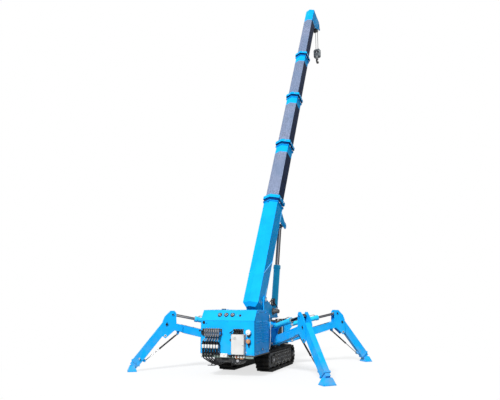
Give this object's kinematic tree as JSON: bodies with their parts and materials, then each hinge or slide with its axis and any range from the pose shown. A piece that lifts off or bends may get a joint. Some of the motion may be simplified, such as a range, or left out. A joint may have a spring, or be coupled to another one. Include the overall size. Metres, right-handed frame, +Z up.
{
  "type": "tracked spider crane",
  "caption": "Compact crane on two rubber tracks, with a rear engine hood, spread folding outriggers and a slewing telescopic hexagonal boom raised at full length over a hook.",
  "frame": {"origin": "on the ground under the slewing axis", "axes": "+X forward along the tracks, +Y to the machine's left, +Z up"},
  "size_m": [4.8812, 3.1912, 7.8503],
  "materials": {
    "blue_paint": "gloss enamel",
    "boom_grey": "satin",
    "frame_grey": "satin",
    "black_rubber": "matt",
    "black_plastic": "matt",
    "chrome_rod": "polished",
    "cylinder_paint": "gloss",
    "steel": "machined",
    "cast": "rough",
    "white_plastic": "gloss",
    "grey_paint": "satin",
    "red_plastic": "gloss",
    "wire_rope": "stranded wire rope"
  },
  "bodies": {
    "chassis": {"chassis": "frame_grey", "hood": "blue_paint", "engine": "cast", "gauges": "black_plastic", "valve_bank": "steel", "levers": "white_plastic", "control_box": "grey_paint", "lamp": "white_plastic", "stop_button": "red_plastic", "slew_ring": "steel", "track_left": "black_rubber", "track_right": "black_rubber", "track_frames": "frame_grey"},
    "turret": {"turret": "blue_paint"},
    "winch_drum": {"winch_drum": "steel"},
    "luff_barrel": {"luff_barrel": "cylinder_paint"},
    "luff_rod": {"luff_rod": "chrome_rod"},
    "boom_1": {"boom_1": "blue_paint"},
    "boom_2": {"boom_2": "boom_grey"},
    "boom_3": {"boom_3": "boom_grey"},
    "boom_4": {"boom_4": "boom_grey"},
    "boom_5": {"boom_5": "boom_grey"},
    "head_sheaves": {"head_sheaves": "steel"},
    "hook": {"hoist_rope": "wire_rope", "hook_block": "frame_grey", "hook": "steel"},
    "front_left_swivel": {"front_left_swivel": "blue_paint"},
    "front_left_arm": {"front_left_arm": "blue_paint"},
    "front_left_lift_barrel": {"front_left_lift_barrel": "cylinder_paint"},
    "front_left_lift_rod": {"front_left_lift_rod": "chrome_rod"},
    "front_left_leg": {"front_left_leg": "blue_paint"},
    "front_left_foot": {"front_left_foot": "blue_paint"},
    "front_left_strut_barrel": {"front_left_strut_barrel": "black_plastic"},
    "front_left_strut_rod": {"front_left_strut_rod": "chrome_rod"},
    "front_right_swivel": {"front_right_swivel": "blue_paint"},
    "front_right_arm": {"front_right_arm": "blue_paint"},
    "front_right_lift_barrel": {"front_right_lift_barrel": "cylinder_paint"},
    "front_right_lift_rod": {"front_right_lift_rod": "chrome_rod"},
    "front_right_leg": {"front_right_leg": "blue_paint"},
    "front_right_foot": {"front_right_foot": "blue_paint"},
    "front_right_strut_barrel": {"front_right_strut_barrel": "black_plastic"},
    "front_right_strut_rod": {"front_right_strut_rod": "chrome_rod"},
    "rear_left_swivel": {"rear_left_swivel": "blue_paint"},
    "rear_left_arm": {"rear_left_arm": "blue_paint"},
    "rear_left_lift_barrel": {"rear_left_lift_barrel": "cylinder_paint"},
    "rear_left_lift_rod": {"rear_left_lift_rod": "chrome_rod"},
    "rear_left_leg": {"rear_left_leg": "blue_paint"},
    "rear_left_foot": {"rear_left_foot": "blue_paint"},
    "rear_left_strut_barrel": {"rear_left_strut_barrel": "black_plastic"},
    "rear_left_strut_rod": {"rear_left_strut_rod": "chrome_rod"},
    "rear_right_swivel": {"rear_right_swivel": "blue_paint"},
    "rear_right_arm": {"rear_right_arm": "blue_paint"},
    "rear_right_lift_barrel": {"rear_right_lift_barrel": "cylinder_paint"},
    "rear_right_lift_rod": {"rear_right_lift_rod": "chrome_rod"},
    "rear_right_leg": {"rear_right_leg": "blue_paint"},
    "rear_right_foot": {"rear_right_foot": "blue_paint"},
    "rear_right_strut_barrel": {"rear_right_strut_barrel": "black_plastic"},
    "rear_right_strut_rod": {"rear_right_strut_rod": "chrome_rod"}
  },
  "joints": [
    {"name": "slew", "type": "hinge", "parent": "chassis", "child": "turret", "pos_m": [0, 0, 0.36], "axis": [0, 0, 1], "continuous": true},
    {"name": "luff", "type": "hinge", "parent": "turret", "child": "boom_1", "pos_m": [-0.19326, 0.01691, 1.023], "axis": [-0.0872, -0.9962, 0], "range_deg": [-65, 8]},
    {"name": "telescope_2", "type": "slide", "parent": "boom_1", "child": "boom_2", "axis": [0.421, -0.0368, 0.9063], "range_m": [-1.166, 0]},
    {"name": "telescope_3", "type": "slide", "parent": "boom_2", "child": "boom_3", "axis": [0.421, -0.0368, 0.9063], "range_m": [-1.166, 0]},
    {"name": "telescope_4", "type": "slide", "parent": "boom_3", "child": "boom_4", "axis": [0.421, -0.0368, 0.9063], "range_m": [-1.166, 0]},
    {"name": "telescope_5", "type": "slide", "parent": "boom_4", "child": "boom_5", "axis": [0.421, -0.0368, 0.9063], "range_m": [-1.166, 0]},
    {"name": "winch", "type": "hinge", "parent": "turret", "child": "winch_drum", "pos_m": [0.09962, -0.00872, 0.842], "axis": [-0.0872, -0.9962, 0], "continuous": true},
    {"name": "head_sheaves", "type": "hinge", "parent": "boom_5", "child": "head_sheaves", "pos_m": [3.14717, -0.27534, 7.53721], "axis": [-0.0872, -0.9962, 0], "continuous": true},
    {"name": "hook_swing", "type": "hinge", "parent": "boom_5", "child": "hook", "pos_m": [3.14717, -0.27534, 7.53721], "axis": [-0.0872, -0.9962, 0], "range_deg": [-10, 70]},
    {"name": "luff_barrel_tilt", "type": "hinge", "parent": "turret", "child": "luff_barrel", "pos_m": [0.48515, -0.04244, 0.8], "axis": [-0.0872, -0.9962, 0], "range_deg": [-79, 10]},
    {"name": "luff_rod_slide", "type": "slide", "parent": "luff_barrel", "child": "luff_rod", "axis": [0.1874, -0.0164, 0.9821], "range_m": [-0.64, 0.085]},
    {"name": "front_left_swivel", "type": "hinge", "parent": "chassis", "child": "front_left_swivel", "pos_m": [0.205, 0.33, 0.5], "axis": [0, 0, 1], "range_deg": [-42, 32]},
    {"name": "front_left_lift", "type": "hinge", "parent": "front_left_swivel", "child": "front_left_arm", "pos_m": [0.26569, 0.39646, 0.385], "axis": [0.7385, -0.6743, 0], "range_deg": [-6, 35]},
    {"name": "front_left_lift_barrel_tilt", "type": "hinge", "parent": "front_left_swivel", "child": "front_left_lift_barrel", "pos_m": [0.26569, 0.39646, 0.635], "axis": [0.7385, -0.6743, 0], "range_deg": [-7, 39]},
    {"name": "front_left_lift_rod_slide", "type": "slide", "parent": "front_left_lift_barrel", "child": "front_left_lift_rod", "axis": [0.6617, 0.7246, 0.1928], "range_m": [-0.136, 0.024]},
    {"name": "front_left_leg_fold", "type": "hinge", "parent": "front_left_arm", "child": "front_left_leg", "pos_m": [0.89683, 1.08766, 0.66], "axis": [0.7385, -0.6743, 0], "range_deg": [-60, 0]},
    {"name": "front_left_strut_tilt", "type": "hinge", "parent": "front_left_arm", "child": "front_left_strut_barrel", "pos_m": [0.77816, 0.95769, 0.524], "axis": [0.7385, -0.6743, 0], "range_deg": [-70, 0]},
    {"name": "front_left_strut_slide", "type": "slide", "parent": "front_left_strut_barrel", "child": "front_left_strut_rod", "axis": [0.5246, 0.5745, -0.6283], "range_m": [-0.21, 0]},
    {"name": "front_left_foot_extend", "type": "slide", "parent": "front_left_leg", "child": "front_left_foot", "axis": [0.4188, 0.4587, -0.7837], "range_m": [0, 0.4]},
    {"name": "front_right_swivel", "type": "hinge", "parent": "chassis", "child": "front_right_swivel", "pos_m": [0.205, -0.33, 0.5], "axis": [0, 0, -1], "range_deg": [-42, 32]},
    {"name": "front_right_lift", "type": "hinge", "parent": "front_right_swivel", "child": "front_right_arm", "pos_m": [0.26569, -0.39646, 0.385], "axis": [-0.7385, -0.6743, 0], "range_deg": [-6, 35]},
    {"name": "front_right_lift_barrel_tilt", "type": "hinge", "parent": "front_right_swivel", "child": "front_right_lift_barrel", "pos_m": [0.26569, -0.39646, 0.635], "axis": [-0.7385, -0.6743, 0], "range_deg": [-7, 39]},
    {"name": "front_right_lift_rod_slide", "type": "slide", "parent": "front_right_lift_barrel", "child": "front_right_lift_rod", "axis": [0.6617, -0.7246, 0.1928], "range_m": [-0.136, 0.024]},
    {"name": "front_right_leg_fold", "type": "hinge", "parent": "front_right_arm", "child": "front_right_leg", "pos_m": [0.89683, -1.08766, 0.66], "axis": [-0.7385, -0.6743, 0], "range_deg": [-60, 0]},
    {"name": "front_right_strut_tilt", "type": "hinge", "parent": "front_right_arm", "child": "front_right_strut_barrel", "pos_m": [0.77816, -0.95769, 0.524], "axis": [-0.7385, -0.6743, 0], "range_deg": [-70, 0]},
    {"name": "front_right_strut_slide", "type": "slide", "parent": "front_right_strut_barrel", "child": "front_right_strut_rod", "axis": [0.5246, -0.5745, -0.6283], "range_m": [-0.21, 0]},
    {"name": "front_right_foot_extend", "type": "slide", "parent": "front_right_leg", "child": "front_right_foot", "axis": [0.4188, -0.4587, -0.7837], "range_m": [0, 0.4]},
    {"name": "rear_left_swivel", "type": "hinge", "parent": "chassis", "child": "rear_left_swivel", "pos_m": [-0.41, 0.33, 0.5], "axis": [0, 0, 1], "range_deg": [-38, 11]},
    {"name": "rear_left_lift", "type": "hinge", "parent": "rear_left_swivel", "child": "rear_left_arm", "pos_m": [-0.46341, 0.40244, 0.385], "axis": [0.8049, 0.5934, 0], "range_deg": [-6, 35]},
    {"name": "rear_left_lift_barrel_tilt", "type": "hinge", "parent": "rear_left_swivel", "child": "rear_left_lift_barrel", "pos_m": [-0.46341, 0.40244, 0.635], "axis": [0.8049, 0.5934, 0], "range_deg": [-7, 39]},
    {"name": "rear_left_lift_rod_slide", "type": "slide", "parent": "rear_left_lift_barrel", "child": "rear_left_lift_rod", "axis": [-0.5823, 0.7898, 0.1928], "range_m": [-0.136, 0.024]},
    {"name": "rear_left_leg_fold", "type": "hinge", "parent": "rear_left_arm", "child": "rear_left_leg", "pos_m": [-1.01885, 1.15582, 0.66], "axis": [0.8049, 0.5934, 0], "range_deg": [-60, 0]},
    {"name": "rear_left_strut_tilt", "type": "hinge", "parent": "rear_left_arm", "child": "rear_left_strut_barrel", "pos_m": [-0.91441, 1.01416, 0.524], "axis": [0.8049, 0.5934, 0], "range_deg": [-70, 0]},
    {"name": "rear_left_strut_slide", "type": "slide", "parent": "rear_left_strut_barrel", "child": "rear_left_strut_rod", "axis": [-0.4616, 0.6262, -0.6283], "range_m": [-0.21, 0]},
    {"name": "rear_left_foot_extend", "type": "slide", "parent": "rear_left_leg", "child": "rear_left_foot", "axis": [-0.3686, 0.5, -0.7837], "range_m": [0, 0.4]},
    {"name": "rear_right_swivel", "type": "hinge", "parent": "chassis", "child": "rear_right_swivel", "pos_m": [-0.41, -0.33, 0.5], "axis": [0, 0, -1], "range_deg": [-47, 2]},
    {"name": "rear_right_lift", "type": "hinge", "parent": "rear_right_swivel", "child": "rear_right_arm", "pos_m": [-0.47397, -0.39331, 0.385], "axis": [-0.7034, 0.7108, 0], "range_deg": [-6, 35]},
    {"name": "rear_right_lift_barrel_tilt", "type": "hinge", "parent": "rear_right_swivel", "child": "rear_right_lift_barrel", "pos_m": [-0.47397, -0.39331, 0.635], "axis": [-0.7034, 0.7108, 0], "range_deg": [-7, 39]},
    {"name": "rear_right_lift_rod_slide", "type": "slide", "parent": "rear_right_lift_barrel", "child": "rear_right_lift_rod", "axis": [-0.6975, -0.6902, 0.1928], "range_m": [-0.136, 0.024]},
    {"name": "rear_right_leg_fold", "type": "hinge", "parent": "rear_right_arm", "child": "rear_right_leg", "pos_m": [-1.13928, -1.05168, 0.66], "axis": [-0.7034, 0.7108, 0], "range_deg": [-60, 0]},
    {"name": "rear_right_strut_tilt", "type": "hinge", "parent": "rear_right_arm", "child": "rear_right_strut_barrel", "pos_m": [-1.01418, -0.92789, 0.524], "axis": [-0.7034, 0.7108, 0], "range_deg": [-70, 0]},
    {"name": "rear_right_strut_slide", "type": "slide", "parent": "rear_right_strut_barrel", "child": "rear_right_strut_rod", "axis": [-0.553, -0.5472, -0.6283], "range_m": [-0.21, 0]},
    {"name": "rear_right_foot_extend", "type": "slide", "parent": "rear_right_leg", "child": "rear_right_foot", "axis": [-0.4415, -0.4369, -0.7837], "range_m": [0, 0.4]}
  ],
  "couplings": [
    {"joint": "telescope_3", "follows": "telescope_2", "ratio": 1},
    {"joint": "telescope_4", "follows": "telescope_2", "ratio": 1},
    {"joint": "telescope_5", "follows": "telescope_2", "ratio": 1},
    {"joint": "luff_barrel_tilt", "follows": "luff", "ratio": 1.2},
    {"joint": "luff_rod_slide", "follows": "luff", "m_per_rad": 0.558},
    {"joint": "front_left_lift_barrel_tilt", "follows": "front_left_lift", "ratio": 1.1},
    {"joint": "front_left_lift_rod_slide", "follows": "front_left_lift", "m_per_rad": -0.22},
    {"joint": "front_left_strut_tilt", "follows": "front_left_leg_fold", "ratio": 1.15},
    {"joint": "front_left_strut_slide", "follows": "front_left_leg_fold", "m_per_rad": 0.2},
    {"joint": "front_right_lift_barrel_tilt", "follows": "front_right_lift", "ratio": 1.1},
    {"joint": "front_right_lift_rod_slide", "follows": "front_right_lift", "m_per_rad": -0.22},
    {"joint": "front_right_strut_tilt", "follows": "front_right_leg_fold", "ratio": 1.15},
    {"joint": "front_right_strut_slide", "follows": "front_right_leg_fold", "m_per_rad": 0.2},
    {"joint": "rear_left_lift_barrel_tilt", "follows": "rear_left_lift", "ratio": 1.1},
    {"joint": "rear_left_lift_rod_slide", "follows": "rear_left_lift", "m_per_rad": -0.22},
    {"joint": "rear_left_strut_tilt", "follows": "rear_left_leg_fold", "ratio": 1.15},
    {"joint": "rear_left_strut_slide", "follows": "rear_left_leg_fold", "m_per_rad": 0.2},
    {"joint": "rear_right_lift_barrel_tilt", "follows": "rear_right_lift", "ratio": 1.1},
    {"joint": "rear_right_lift_rod_slide", "follows": "rear_right_lift", "m_per_rad": -0.22},
    {"joint": "rear_right_strut_tilt", "follows": "rear_right_leg_fold", "ratio": 1.15},
    {"joint": "rear_right_strut_slide", "follows": "rear_right_leg_fold", "m_per_rad": 0.2}
  ]
}
